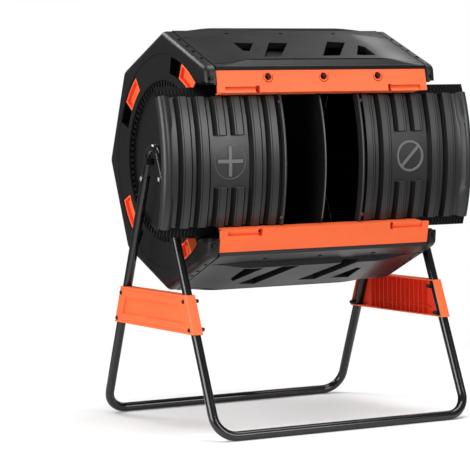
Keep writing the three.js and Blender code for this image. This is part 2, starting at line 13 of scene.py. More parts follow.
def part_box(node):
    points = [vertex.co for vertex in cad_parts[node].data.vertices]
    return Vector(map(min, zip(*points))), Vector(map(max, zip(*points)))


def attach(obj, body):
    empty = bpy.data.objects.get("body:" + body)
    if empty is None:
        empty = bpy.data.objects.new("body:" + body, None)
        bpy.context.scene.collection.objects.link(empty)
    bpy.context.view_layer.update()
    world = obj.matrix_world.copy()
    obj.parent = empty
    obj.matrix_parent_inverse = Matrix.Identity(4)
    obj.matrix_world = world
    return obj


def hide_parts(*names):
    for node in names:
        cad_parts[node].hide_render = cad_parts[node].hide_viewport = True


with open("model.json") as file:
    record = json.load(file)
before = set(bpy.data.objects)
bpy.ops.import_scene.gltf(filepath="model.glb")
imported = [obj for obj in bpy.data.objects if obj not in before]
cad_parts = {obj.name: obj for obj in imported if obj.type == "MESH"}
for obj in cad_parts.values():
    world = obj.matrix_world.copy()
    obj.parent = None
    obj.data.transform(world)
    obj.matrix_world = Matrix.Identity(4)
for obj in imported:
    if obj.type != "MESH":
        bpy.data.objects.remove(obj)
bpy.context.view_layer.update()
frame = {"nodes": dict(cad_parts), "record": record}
spin = next(j for j in frame["record"]["behaviour"]["joints"] if j["name"] == "drum_spin")
axleUp = spin["pos_m"][2]
print("frame loaded, axle", round(axleUp, 3), "m above the ground")


def fromBox(node, corner, axis):  # a node's lowest (0) or highest (1) corner, in mm from the axle
    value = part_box(node)[corner][axis]
    return (value - axleUp if axis == 2 else value) * 1000


drum = {
    "radius": fromBox("left_end_cap", 1, 2),
    "panelHalf": fromBox("upper_front_panel", 1, 0),
    "capStart": fromBox("right_end_cap", 0, 0) + 12,
    "capFace": fromBox("right_end_cap", 1, 0),
    "wall": 4,
}
apothem = drum["radius"] * math.cos(math.pi / 8)


def ringPoint(degrees, radius):  # 0 is the front, 90 the top
    turn = math.radians(degrees)
    return (-radius * math.cos(turn), radius * math.sin(turn))


def closedOutwards(bm):
    bmesh.ops.remove_doubles(bm, verts=bm.verts, dist=0.002)
    bmesh.ops.recalc_face_normals(bm, faces=bm.faces)
    return bm


def only(geom, kind):
    return [g for g in geom if isinstance(g, kind)]


def drawnOut(points, vec):  # a flat outline, drawn out into a solid
    bm = bmesh.new()
    face = bm.faces.new([bm.verts.new(point) for point in points])
    grown = bmesh.ops.extrude_face_region(bm, geom=[face])["geom"]
    bmesh.ops.translate(bm, verts=only(grown, bmesh.types.BMVert), vec=vec)
    return closedOutwards(bm)


def slab(points, low, high):  # an outline in (y, z), drawn out along x
    return drawnOut([(low, y, z) for y, z in points], (high - low, 0, 0))


def block(x, y, z):
    return slab([(y[0], z[0]), (y[1], z[0]), (y[1], z[1]), (y[0], z[1])], x[0], x[1])


def prism(points, low, high):  # an outline in (x, y), drawn up along z
    return drawnOut([(x, y, low) for x, y in points], (0, 0, high - low))


def turned(profile, steps=48, cent=(0, 0), closed=False):  # (x, radius) turned about a line along x
    bm = bmesh.new()
    verts = [bm.verts.new((x, cent[0] - r, cent[1])) for x, r in profile]
    edges = [bm.edges.new(pair) for pair in zip(verts, verts[1:])]
    if closed:
        edges.append(bm.edges.new((verts[-1], verts[0])))
    bmesh.ops.spin(bm, geom=verts + edges, cent=(0, cent[0], cent[1]), axis=(1, 0, 0),
                   angle=math.tau, steps=steps, use_merge=True)
    return closedOutwards(bm)


def joined(*shapes):
    bm = shapes[0]
    for shape in shapes[1:]:
        mesh = bpy.data.meshes.new("part")
        shape.to_mesh(mesh)
        bm.from_mesh(mesh)
        bpy.data.meshes.remove(mesh)
        shape.free()
    return bm


def moved(bm, vec):
    bmesh.ops.translate(bm, verts=bm.verts, vec=vec)
    return bm


def rotated(bm, degrees, axis):
    bmesh.ops.rotate(bm, verts=bm.verts, cent=(0, 0, 0),
                     matrix=Matrix.Rotation(math.radians(degrees), 3, axis))
    return bm


def flipped(bm):  # the same shape on the left
    bmesh.ops.scale(bm, verts=bm.verts, vec=(-1, 1, 1))
    bmesh.ops.reverse_faces(bm, faces=bm.faces)
    return bm


def looseObject(bm, name):
    mesh = bpy.data.meshes.new(name)
    bm.to_mesh(mesh)
    bm.free()
    obj = bpy.data.objects.new(name, mesh)
    bpy.context.scene.collection.objects.link(obj)
    return obj


def combined(bm, tools, operation="DIFFERENCE"):
    base = looseObject(bm, "base")
    cutters = [looseObject(tool, "cutter") for tool in tools]
    for cutter in cutters:
        step = base.modifiers.new("cut", "BOOLEAN")
        step.operation = operation
        step.object = cutter
    seen = base.evaluated_get(bpy.context.evaluated_depsgraph_get())
    mesh = bpy.data.meshes.new_from_object(seen)
    out = bmesh.new()
    out.from_mesh(mesh)
    bpy.data.meshes.remove(mesh)
    for obj in [base] + cutters:
        bpy.data.objects.remove(obj)
    bmesh.ops.remove_doubles(out, verts=out.verts, dist=0.002)
    return out


def makePiece(name, bm, material, body, nodes=(), bevel=0.6, sharp=32, segments=2, second=None):
    bmesh.ops.scale(bm, verts=bm.verts, vec=(0.001, 0.001, 0.001))
    bmesh.ops.translate(bm, verts=bm.verts, vec=(0, 0, axleUp))
    obj = looseObject(bm, name)
    obj.data.materials.append(material)
    if second:
        obj.data.materials.append(second)
    for polygon in obj.data.polygons:
        polygon.use_smooth = True
    obj.data.set_sharp_from_angle(angle=math.radians(sharp))
    if bevel:
        edge = obj.modifiers.new("soft edges", "BEVEL")
        edge.width = bevel / 1000
        edge.segments = segments
        edge.limit_method = "ANGLE"
        edge.angle_limit = math.radians(sharp)
        edge.harden_normals = True
    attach(obj, body)
    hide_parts(*nodes)
    return obj


class Value:  # a socket that takes part in sums
    def __init__(self, tree, socket):
        self.tree = tree
        self.socket = socket

    def math(self, operation, *others, clamp=False):
        return self.tree.add("ShaderNodeMath", {"operation": operation, "use_clamp": clamp},
                             {i: v for i, v in enumerate(others)})

    def __add__(self, other):
        return self.math("ADD", self, other)

    __radd__ = __add__

    def __mul__(self, other):
        return self.math("MULTIPLY", self, other)

    __rmul__ = __mul__

    def __sub__(self, other):
        return self.math("SUBTRACT", self, other)

    def __rsub__(self, other):
        return self.math("SUBTRACT", other, self)


socketNames = {"baseColor": "Base Color", "roughness": "Roughness", "metallic": "Metallic",
               "alpha": "Alpha", "normal": "Normal", "gloss": "Specular IOR Level"}


class Finish:  # a material whose nodes are added one after the other
    def __init__(self, name, slot, **surface):
        self.material = bpy.data.materials.new(name)
        self.material["slot"] = slot
        self.material.use_nodes = True
        self.nodes = self.material.node_tree.nodes
        self.links = self.material.node_tree.links
        self.shader = self.nodes["Principled BSDF"]
        self.set(**surface)
        self.place = self.add("ShaderNodeTexCoord", {}, {}, "Object")

    def set(self, **surface):
        for key, value in surface.items():
            socket = self.shader.inputs[socketNames[key]]
            if isinstance(value, Value):
                self.links.new(value.socket, socket)
            else:
                socket.default_value = value

    def add(self, kind, settings, inputs, output=0):
        node = self.nodes.new(kind)
        for key, value in settings.items():
            if key == "stops":
                ramp = node.color_ramp.elements
                while len(ramp) < len(value):
                    ramp.new(0.5)
                for stop, (place, colour) in zip(ramp, value):
                    stop.position = place
                    stop.color = colour
            else:
                setattr(node, key, value)
        for key, value in inputs.items():
            if isinstance(value, Value):
                self.links.new(value.socket, node.inputs[key])
            else:
                node.inputs[key].default_value = value
        return Value(self, node.outputs[output])

    def noise(self, scale, detail=3.0, stretch=(1, 1, 1)):
        place = self.add("ShaderNodeMapping", {}, {"Vector": self.place, "Scale": stretch})
        return self.add("ShaderNodeTexNoise", {}, {"Vector": place, "Scale": scale, "Detail": detail})

    def mix(self, mask, first, second):
        return self.add("ShaderNodeMix", {"data_type": "RGBA"}, {0: mask, 6: first, 7: second}, 2)

    def range(self, value, low, high):
        return self.add("ShaderNodeMapRange", {}, {0: value, 1: low, 2: high})

    def bump(self, height, distance, strength=1.0):
        self.set(normal=self.add("ShaderNodeBump", {}, {
            "Height": height, "Distance": distance, "Strength": strength}))


def shade(colour, factor):
    return tuple(c * factor for c in colour) + (1,)


def mouldedPlastic(name, slot, colour, roughness, gloss):
    finish = Finish(name, slot, gloss=gloss)
    patches = finish.range(finish.noise(9, 4), 0.35, 0.7)
    fine = finish.noise(1400, 2)
    tone = finish.mix(patches, shade(colour, 1), shade(colour, 0.93))
    finish.set(baseColor=tone, roughness=roughness - 0.05 + patches * 0.09 + fine * 0.04)
    finish.bump(fine, 0.00006)
    return finish.material


def paintedTube(name, slot, colour):
    finish = Finish(name, slot)
    peel = finish.noise(260, 2)
    wear = finish.range(finish.noise(30, 5), 0.62, 0.8)
    finish.set(baseColor=finish.mix(wear, shade(colour, 1), shade(colour, 1.8)),
               roughness=0.1 + peel * 0.06 + wear * 0.1)
    finish.bump(peel, 0.00012)
    return finish.material


def platedSteel(name, slot, colour, roughness):
    finish = Finish(name, slot, metallic=0.9)
    brushed = finish.noise(300, 3, (0.15, 1, 1))
    stain = finish.noise(40, 4)
    finish.set(baseColor=finish.mix(stain, shade(colour, 1), shade(colour, 0.75)),
               roughness=roughness + brushed * 0.15)
    finish.bump(brushed, 0.00004)
    return finish.material


blackPlastic = mouldedPlastic("black moulded plastic", "black_plastic", (0.0075, 0.0075, 0.0079), 0.36, 0.3)
# painted shade: the divider inside the drum gets a darker black than the caps
shadedDividerPlastic = mouldedPlastic("divider black, painted shade", "black_plastic", (0.004, 0.004, 0.004), 0.5, 0.3)
doorPlastic = mouldedPlastic("black door plastic", "door_plastic", (0.022, 0.022, 0.0228), 0.36, 0.5)
# painted shade: a near-black second material for the door ribs' flanks, the door flanges, the panel grooves
# and the cap's pit and hand-holds
paintedShadePlastic = mouldedPlastic("painted shade in grooves", "door_plastic", (0.002, 0.002, 0.002), 0.5, 0.1)
# the signs' own lighter grey, also used as a painted highlight on the divider's front edge
signGreyAndHighlight = mouldedPlastic("grey door signs and painted highlight", "door_plastic", (0.13, 0.13, 0.135), 0.4, 0.5)
orangePlastic = mouldedPlastic("orange plastic", "orange_plastic", (0.95, 0.15, 0.042), 0.45, 0.3)
# painted shade: a darker orange for the rail pockets' faces, the grip recess walls and the braces' inner
# sides
orangePaintedShade = mouldedPlastic("orange plastic, painted shade", "orange_plastic", (0.8, 0.05, 0.02), 0.45, 0.2)
blackPaint = paintedTube("gloss black paint", "black_paint", (0.006, 0.006, 0.0065))
darkSteel = platedSteel("black screws", "dark_steel", (0.03, 0.03, 0.032), 0.35)
brightSteel = platedSteel("zinc plated steel", "bright_steel", (0.75, 0.76, 0.78), 0.25)
greySteel = platedSteel("dull steel plate", "grey_steel", (0.03, 0.031, 0.032), 0.5)
print("materials made")


view = {"place": (-2.5356, -4.5297, 0.7372), "yaw": 28.155, "pitch": -3.135, "roll": -1.068,
        "lens": 164.9, "shift": (-0.0095, -0.0112)}
studio = {
    "fill": 0.17,
    "floorEdge": (0.7, 1.7),  # where the floor starts to fade, and where it is gone
    "lights": {  # place, size, power
        "top light": ((0.4, -0.6, 3.2), (2.8, 1.8), 95),
        "front light": ((1.4, -4.3, 1.9), (2.4, 1.6), 84),
        "left light": ((-3.2, -1.0, 1.1), (2.2, 1.8), 90),
        "right back light": ((3.6, 2.6, 3.2), (2.0, 1.4), 20),
        "left back light": ((-1.4, 2.4, 3.2), (1.6, 1.2), 70),
    },
}


def addCamera():
    data = bpy.data.cameras.new("camera")
    data.sensor_width = 36
    data.lens = view["lens"]
    data.shift_x, data.shift_y = view["shift"]
    camera = bpy.data.objects.new("camera", data)
    bpy.context.scene.collection.objects.link(camera)
    turn = (Matrix.Rotation(math.radians(-view["yaw"]), 4, "Z")
            @ Matrix.Rotation(math.radians(90 + view["pitch"]), 4, "X")
            @ Matrix.Rotation(math.radians(view["roll"]), 4, "Z"))
    camera.matrix_world = Matrix.Translation(view["place"]) @ turn
    bpy.context.scene.camera = camera


def addLight(name, place, size, power, target=(0, 0, 0.6)):
    data = bpy.data.lights.new(name, "AREA")
    data.shape = "RECTANGLE"
    data.size, data.size_y = size
    data.energy = power
    light = bpy.data.objects.new(name, data)
    bpy.context.scene.collection.objects.link(light)
    light.location = place
    light.rotation_euler = (Vector(target) - Vector(place)).to_track_quat("-Z", "Y").to_euler()


def addStudio():
    scene = bpy.context.scene
    scene.view_settings.view_transform = "Standard"
    world = bpy.data.worlds.new("studio")
    scene.world = world
    world.use_nodes = True
    nodes, links = world.node_tree.nodes, world.node_tree.links
    seen = nodes["Background"]
    seen.inputs["Color"].default_value = (1, 1, 1, 1)
    fill = nodes.new("ShaderNodeBackground")
    fill.inputs["Color"].default_value = (1, 1, 1, 1)
    fill.inputs["Strength"].default_value = studio["fill"]
    ray = nodes.new("ShaderNodeLightPath")
    pick = nodes.new("ShaderNodeMixShader")
    links.new(ray.outputs["Is Camera Ray"], pick.inputs[0])
    links.new(fill.outputs[0], pick.inputs[1])
    links.new(seen.outputs[0], pick.inputs[2])
    links.new(pick.outputs[0], nodes["World Output"].inputs["Surface"])
    for name, (place, size, power) in studio["lights"].items():
        addLight(name, place, size, power)
    bm = bmesh.new()
    bmesh.ops.create_grid(bm, x_segments=2, y_segments=2, size=30)
    floor = looseObject(bm, "floor")
    finish = Finish("pale floor", "floor", roughness=0.6)
    marks = finish.noise(3, 2)
    finish.set(baseColor=finish.mix(marks, (0.95, 0.95, 0.95, 1), (0.98, 0.98, 0.98, 1)))
    away = finish.add("ShaderNodeVectorMath", {"operation": "LENGTH"}, {0: finish.place}, "Value")
    finish.set(alpha=1 - finish.range(away, *studio["floorEdge"]))
    floor.data.materials.append(finish.material)


addCamera()
addStudio()
print("camera and studio ready")


panel = {
    "end": 277, "ramp": (274, 166), "steps": 12, "lift": 11, "pocket": 21, "groove": (2.2, 2.5),
    "over": 5,  # how far a cutter stands out over the plateau
    "faces": {  # where each panel faces, and the plateau's edges across it: foot, top
        "upper_front_panel": (67.5, (-114, 70), (-99, 63)),
        "upper_rear_panel": (112.5, (-112, 112), (-107, 107)),
        "rear_upper_panel": (157.5, (-100, 100), (-94, 94)),
        "rear_lower_panel": (202.5, (-100, 100), (-94, 94)),
        "lower_rear_panel": (247.5, (-112, 112), (-107, 107)),
        "lower_front_panel": (292.5, (-100, 62), (-94, 56)),
    },
    "screwLine": {"upper_front_panel": 94, "lower_front_panel": 86}, "screws": (-146, 0, 146),
    "screwWell": [(-2.5, 0), (-2.5, 6), (9, 6), (9, 0)],
    # corners of the slanted pockets as (u, v): v runs to the rail side with -1 and from it with 1
    "pockets": [[(-176, 6), (-125, 3), (-161, -50), (-176, -46)],
                [(-81, 6), (-33, 3), (-97, -86), (-141, -86)],
                [(80, 12), (126, 5), (64, -81), (18, -81)],
                [(152, -12), (165, -25), (164, -79), (112, -79)]],
}


def rampCurve(drop):  # the plateau's outline along the panel, with an easy ramp at each end
    wide, narrow = panel["ramp"]
    ramp = [(panel["end"], -drop)]
    for i in range(panel["steps"] + 1):
        t = i / panel["steps"]
        ramp.append((wide + (narrow - wide) * t, panel["lift"] * (3 - 2 * t) * t * t - drop))
    return ramp + [(-x, up) for x, up in reversed(ramp)]


def acrossPanel(outline, low, high):  # an outline in (x, z), drawn out across the panel
    return drawnOut([(x, low, up) for x, up in outline], (0, high - low, 0))


def plateau(foot, top):
    curve = rampCurve(0)[1:-1]
    bm = acrossPanel([(curve[0][0], -1)] + curve + [(curve[-1][0], -1)], *foot)
    for v in bm.verts:
        side = int(v.co.y > foot[0] + 1)
        v.co.y += (top[side] - foot[side]) * v.co.z / panel["lift"]
    return bm


def panelGroove(low, high):  # a line that follows the plateau's ramps
    curve = rampCurve(panel["groove"][1])
    end, up = panel["end"], panel["lift"] + panel["over"]
    return acrossPanel([(end, up)] + curve + [(-end, up)], low, high)


def pocketCorners(name, middle):  # the same pockets, turned over on the lower front panel
    for corners in panel["pockets"]:
        if name == "lower_front_panel":
            yield [(-u - 22, 60 - 1.3 * (v + 86)) for u, v in corners]
        elif name == "upper_front_panel":
            yield corners
        else:
            yield [(u, v + 40 + middle) for u, v in corners]


def sidePanel(name):
    degrees, foot, top = panel["faces"][name]
    wall, lift, wide = drum["wall"], panel["lift"], panel["groove"][0]
    half = drum["radius"] * math.sin(math.pi / 8) - 0.3
    low = half - wall * math.tan(math.pi / 8)
    lip = [(half + 3, 0), (half + 3.3, -8), (half, -9.4), (low, -wall)]
    plain = [(half, 0), (low, -wall)]
    right = lip if name == "lower_front_panel" else plain
    left = lip if name == "upper_front_panel" else plain
    bm = slab([(-y, z) for y, z in reversed(left)] + right, -drum["panelHalf"], drum["panelHalf"])
    bm = combined(bm, [plateau(foot, top)], "UNION")
    cutters = []
    for corners in pocketCorners(name, sum(top) / 2):
        bm = combined(bm, [prism(corners, lift - panel["pocket"] - 3, 1 - wall)], "UNION")
        cutters.append(prism(corners, lift - panel["pocket"], lift + panel["over"]))
    if name in panel["screwLine"]:
        for x in panel["screws"]:
            well = rotated(turned(panel["screwWell"], 20), -90, "Y")
            cutters.append(moved(well, (x, panel["screwLine"][name], 0)))
        cutters += [panelGroove(foot[1] - 1, foot[1] + wide), panelGroove(top[0] - wide, top[0])]
    bm = combined(bm, cutters)
    for face in bm.faces:  # painted shade: the long walls of the grooves take the darker second material
        place = face.calc_center_median()
        nearMiddle = abs(place.x) < 5 and abs(place.y) < 110 and -3 < place.z < lift
        face.material_index = int(nearMiddle and abs(face.normal.y) > 0.9)
    rotated(bm, 90 - degrees, "X")
    y, z = ringPoint(degrees, apothem)
    return moved(bm, (0, y, z))


for name in panel["faces"]:
    makePiece(name.replace("_panel", "_skin"), sidePanel(name), blackPlastic, "drum", [name], bevel=1.6,
              second=paintedShadePlastic)
print("side panels done")


rail = {
    "outer": (-215.7, 206.2), "inner": (-226.8, 156), "lip": (-185, 150.5),  # the front's edges as (y, z)
    "thick": 3.5, "fold": (14, 2), "back": 11,
    # towards each end: a pocket, its slot and the cut behind it, as (y, z), and where each runs in x
    "cutouts": [([(-240, 150), (-227, 152), (-217, 169), (-240, 169)], (173, 261)),
                ([(-240, 150), (-212, 150), (-212, 171), (-240, 171)], (172, 181)),
                ([(-219, 140), (-219, 175), (-170, 175), (-170, 140)], (265, drum["panelHalf"] + 5))],
    "screws": (-147, 0, 147), "screwUp": 191.4, "screwFront": 219, "bore": 8.5,
    "ringLine": (11, 12.8, 2.2), "ringLean": 12.5,
}


def doorRail(side):
    (outerY, outerZ), (innerY, innerZ), (lipY, lipZ) = rail["outer"], rail["inner"], rail["lip"]
    foldY, foldZ = rail["fold"]
    outline = [(outerY, outerZ), (innerY, innerZ), (lipY, lipZ), (lipY, lipZ + rail["thick"]),
               (innerY + foldY, innerZ + foldZ), (outerY + rail["back"], outerZ)]
    bm = slab(outline, -drum["panelHalf"], drum["panelHalf"])
    cutters = []
    for end in (-1, 1):
        for corners, span in rail["cutouts"]:
            cutters.append(slab(corners, *sorted(end * x for x in span)))
    front, up, bore = rail["screwFront"], rail["screwUp"], rail["bore"]
    inside, outside, deep = rail["ringLine"]
    for x in rail["screws"] if side > 0 else ():  # each screw's bore, and the line round it
        hole = rotated(turned([(-10, 0), (-10, bore), (20, bore), (20, 0)], 24), 90, "Z")
        cutters.append(moved(hole, (x, -front - 8, up)))
        line = turned([(-deep, inside), (-deep, outside), (6, outside), (6, inside)], 32, closed=True)
        line = rotated(rotated(line, -90, "Z"), rail["ringLean"], "X")
        cutters.append(moved(line, (x, -front, up)))
    bm = combined(bm, cutters)
    slope = (outerY - innerY) / (outerZ - innerZ)
    for part in bm.faces:  # painted shade: the pockets' small inner faces take a darker orange
        place = part.calc_center_median()
        depth = place.y - outerY + (outerZ - place.z) * slope
        part.material_index = int(place.z > 155 and 0.6 < depth < 12 and part.calc_area() < 300)
    if side < 0:
        bmesh.ops.scale(bm, verts=bm.verts, vec=(1, 1, -1))
        bmesh.ops.reverse_faces(bm, faces=bm.faces)
    return bm


for name, side in (("upper_door_rail", 1), ("lower_door_rail", -1)):
    makePiece(name.replace("door_rail", "rail_moulding"), doorRail(side), orangePlastic, "drum", [name],
              bevel=1.2, second=orangePaintedShade)
print("door rails done")


door = {
    "radius": 460, "behind": 255, "flangeUp": 170, "faceUp": 147, "steps": 24,
    # the shell's section as (x, height over the radius): bead, face, dip and pull
    "section": [(102, -4), (102, 16), (103.5, 18), (106, 18), (107.5, 16), (108.5, 2), (111, 0),
                (376, 0), (380, -1), (384, 0), (388, 4.5), (392, 9), (397, 12.5), (402, 14),
                (407, 13.5), (411, 11), (414, 7), (415, 2), (415, -4)],
    "flange": [(102, -4), (102, -0.5), (414, -0.5), (414, -4)],
    "pull": {"edge": (377, 394), "narrows": 6, "half": 78, "ease": 5},
    "ribs": 6, "ribPitch": 45.2, "ribMiddle": 242, "ribFoot": 37, "ribTop": 21, "ribHeight": 10,
    "brokenRibs": (2, 3), "signGap": 59,
    "catchUp": 134, "catch": [(0, 0), (0, 5), (3, 5), (5, 3), (5, 0)],
    "stiffeners": {"count": 11, "start": 320, "pitch": 9, "wide": 1.6, "up": (153, 166)},
}


def arched(profile, low, high, steps=None):  # (x, height) swept up the door's arc between two levels
    start, end = (math.asin(up / door["radius"]) for up in (low, high))
    bm = bmesh.new()
    verts = []
    for x, height in profile:
        r = door["radius"] + height
        verts.append(bm.verts.new((x, door["behind"] - r * math.cos(start), r * math.sin(start))))
    face = bm.faces.new(verts)
    if steps is None:
        steps = max(2, round(door["steps"] * (high - low) / (2 * door["faceUp"])))
    bmesh.ops.spin(bm, geom=verts + list(face.edges) + [face], cent=(0, door["behind"], 0),
                   axis=(-1, 0, 0), angle=end - start, steps=steps)
    return closedOutwards(bm)


def doorShell():
    up, flangeUp, pull = door["faceUp"], door["flangeUp"], door["pull"]
    shell = arched(door["section"], -up, up)
    for v in shell.verts:  # the pull narrows at the middle for the fingers
        if pull["edge"][0] < v.co.x < pull["edge"][1]:
            v.co.x += pull["narrows"] / (1 + math.exp((abs(v.co.z) - pull["half"]) / pull["ease"]))
    lower = arched(door["flange"], -flangeUp, 1 - up, 2)
    upper = arched(door["flange"], up - 1, flangeUp, 2)
    # painted shade: the flange strips take the darker second material
    for strip in (lower, upper):
        for face in strip.faces:
            face.material_index = 1
    return joined(shell, lower, upper)


def doorRibs():
    up, gap, high = door["faceUp"] - 1, door["signGap"], door["ribHeight"]
    foot, top = door["ribFoot"] / 2, door["ribTop"] / 2
    shapes = []
    for i in range(door["ribs"]):
        x = door["ribMiddle"] + (i - (door["ribs"] - 1) / 2) * door["ribPitch"]
        profile = [(x - foot, -1), (x - foot, 0), (x - top, high), (x + top - 5, high),
                   (x + top - 4.4, high - 0.8), (x + top - 3.8, high), (x + top, high),
                   (x + foot, 0), (x + foot, -1)]
        spans = [(-up, -gap), (gap, up)] if i in door["brokenRibs"] else [(-up, up)]
        shapes += [arched(profile, low, end) for low, end in spans]
    bm = joined(*shapes)
    # painted shade: the ribs' side flanks take the darker second material
    for face in bm.faces:
        face.material_index = int(abs(face.normal.x) > 0.4)
    return bm


def onDoor(bm, lift):  # bends a flat shape, drawn in (x, z) with its back at y = 0, on to the door's arc
    for v in bm.verts:
        r = door["radius"] + lift - v.co.y
        v.co.y = door["behind"] - math.sqrt(r * r - v.co.z * v.co.z)
    return bm


def ring(radius, width, height):
    profile = [(-radius - width / 2, 1), (-radius - width / 3, -height), (-radius + width / 3, -height),
               (-radius + width / 2, 1)]
    bm = bmesh.new()
    verts = [bm.verts.new((x, y, 0)) for x, y in profile]
    edges = [bm.edges.new((verts[i], verts[(i + 1) % 4])) for i in range(4)]
    bmesh.ops.spin(bm, geom=verts + edges, cent=(0, 0, 0), axis=(0, 1, 0), angle=math.tau, steps=48,
                   use_merge=True)
    return closedOutwards(bm)


def bar(length, width, height, degrees):
    bm = bmesh.new()
    bmesh.ops.create_cube(bm, size=1)
    bmesh.ops.scale(bm, verts=bm.verts, vec=(length, height + 1, width))
    bmesh.ops.translate(bm, verts=bm.verts, vec=(0, (1 - height) / 2, 0))
    bmesh.ops.subdivide_edges(bm, edges=bm.edges, cuts=3, use_grid_fill=True)
    return rotated(bm, degrees, "Y")


def doorSign(side):
    if side < 0:
        parts = [ring(40, 1.6, 0.9), bar(65, 8, 3, 0), bar(69, 8, 3, 90)]
    else:
        parts = [ring(34.5, 7, 3), bar(66, 7, 3, -45)]
    return moved(onDoor(joined(*parts), 0), (side * door["ribMiddle"], 0, 0))


def doorCatches():
    shapes = []
    for up in (-door["catchUp"], door["catchUp"]):
        front = math.sqrt((door["radius"] + 18) ** 2 - up * up) - door["behind"]
        knob = rotated(turned(door["catch"], 16), -90, "Z")
        shapes.append(moved(knob, (108, 4 - front, up)))
    return joined(*shapes)


def flangeRibs():  # small stiffeners on the flanges, outside the cap
    small = door["stiffeners"]
    low, high = small["up"]
    shapes = []
    for i in range(small["count"]):
        x = small["start"] + i * small["pitch"]
        profile = [(x, -1), (x, 1.5), (x + small["wide"], 1.5), (x + small["wide"], -1)]
        shapes += [arched(profile, low, high, 2), arched(profile, -high, -low, 2)]
    return joined(*shapes)


for side, name in ((-1, "left_door"), (1, "right_door")):
    for suffix, bm, bevel in (("panel", doorShell(), 0.8), ("ribs", doorRibs(), 1.2),
                              ("catches", doorCatches(), 0.5), ("flange_ribs", flangeRibs(), 0)):
        if side < 0:
            flipped(bm)
        nodes = [name] if suffix == "panel" else []
        finish = blackPlastic if suffix == "flange_ribs" else doorPlastic
        makePiece(name + "_" + suffix, bm, finish, name, nodes, bevel=bevel, second=paintedShadePlastic)
    makePiece(name + "_sign", doorSign(side), signGreyAndHighlight, name, bevel=0.5)
print("doors done")


cap = {
    "start": drum["capStart"], "face": drum["capFace"], "shoulder": 14, "rounds": 7, "corner": 24,
    "archRadius": 453, "archUp": 174, "frontLow": (222.8, 174),
    "circle": 251, "recess": (190, 6), "disc": (176, 10),  # a radius, then how deep
    "teeth": 80, "tooth": [(-176.5, -2.6), (-190, -4.2), (-190, 4.2), (-176.5, 2.6)],
    "pit": 16, "pitRadius": (177, 189), "hub": 30, "hubStart": 268.6, "bush": 17.4,
    # a hand-hold's start, its pad's end and its own end, in degrees round from the front
    "holds": [(47, 66.5, 79), (126, 145.5, 158), (203, 222.5, 235), (291, 302.5, 311.5)],
    "holdRadius": (207, 247), "holdDepth": 22,
    "tab": ((289, 304), (-240, -205), (173, 178)), "screw": (295.6, -221.8, 189), "screwRadius": 6.5,
    "slot": ((287, 294), (-5.5, 5.5), (-7, 7)), "slots": [(58, 283), (99, 268), (129, 255), (168, 236)],
}
grip = {"gap": 1.2, "lift": 0.3, "set": 0.6, "rim": 4.5, "wall": 2, "deep": 9}


def rounded(points, radius, steps):  # every corner of an outline becomes an arc
    out = []
    for i, here in enumerate(points):
        before, after = Vector(points[i - 1]), Vector(points[(i + 1) % len(points)])
        here = Vector(here)
        first, second = (before - here).normalized(), (after - here).normalized()
        reach = radius / math.tan(first.angle(second) / 2)
        start, end = here + first * reach, here + second * reach
        for k in range(steps + 1):
            t = k / steps
            out.append(start * (1 - t) ** 2 + here * 2 * t * (1 - t) + end * t * t)
    return out


def inwards(points, distance):  # an outline that runs clockwise, moved in by a distance
    out = []
    for i, here in enumerate(points):
        here = Vector(here)
        first = (here - Vector(points[i - 1])).normalized()
        second = (Vector(points[(i + 1) % len(points)]) - here).normalized()
        across = Vector((first.y + second.y, -first.x - second.x))
        out.append(here + across * distance / (1 + first.dot(second)))
    return out


def capOutline():
    up = cap["archUp"]
    corners = [ringPoint(degrees, drum["radius"]) for degrees in range(0, 360, 45)]
    back = rounded(corners, cap["corner"], 4)[5:40]
    heights = [up * (1 - i / 10) for i in range(21)]
    arch = [(door["behind"] - math.sqrt(cap["archRadius"] ** 2 - z ** 2), z) for z in heights]
    y, z = cap["frontLow"]
    return back + [(-y, -z), *reversed(arch), (-y, z)]


def lofted(loops):  # a closed skin through outlines (x, points) that have as many points each
    bm = bmesh.new()
    rings = [[bm.verts.new((x, y, z)) for y, z in points] for x, points in loops]
    for low, high in zip(rings, rings[1:]):
        for i in range(len(low)):
            bm.faces.new((low[i - 1], low[i], high[i], high[i - 1]))
    bm.faces.new(rings[0])
    bm.faces.new(rings[-1])
    return closedOutwards(bm)


def capSkin():  # a step beside the panels, the skirt, and the rounded shoulder
    outline, start, shoulder = capOutline(), cap["start"], cap["shoulder"]
    loops = [(start, inwards(outline, 3)), (start + 2.5, inwards(outline, 3)),
             (start + 2.5, inwards(outline, 0.6)), (start + 3.2, outline)]
    for i in range(cap["rounds"] + 1):
        turn = math.pi / 2 * i / cap["rounds"]
        inset = shoulder * (1 - math.cos(turn))
        loops.append((cap["face"] - shoulder * (1 - math.sin(turn)), inwards(outline, inset)))
    return lofted(loops)


def sector(start, end, grow):
    inner, outer = cap["holdRadius"][0] - grow, cap["holdRadius"][1] + grow
    slack = math.degrees(grow / inner)
    turns = [start - slack + (end - start + 2 * slack) * i / 6 for i in range(7)]
    return [ringPoint(t, outer) for t in turns] + [ringPoint(t, inner) for t in reversed(turns)]


def disc(radius, low, high, steps=72):
    return turned([(low, 0), (low, radius), (high, radius), (high, 0)], steps)


def ringCut(inside, outside, low, high, steps):
    return turned([(low, inside), (low, outside), (high, outside), (high, inside)], steps, closed=True)


def besideDoor(side):  # a cap's tab gap, screw well and slots on the door's upper or lower edge
    x, y, up = cap["tab"]
    cutters = [block(x, y, sorted((side * up[0], side * up[1])))]
    radius = cap["screwRadius"]
    well = rotated(turned([(-20, 0), (-20, radius), (4, radius), (4, 0)], 24), 90, "Z")
    x, y, z = cap["screw"]
    cutters.append(moved(well, (x, y, side * z)))
    for front, z in cap["slots"]:
        notch = rotated(block(*cap["slot"]), 22.5, "X")
        if side < 0:
            notch = rotated(notch, 135, "X")
        cutters.append(moved(notch, (0, -front, side * z)))
    return cutters


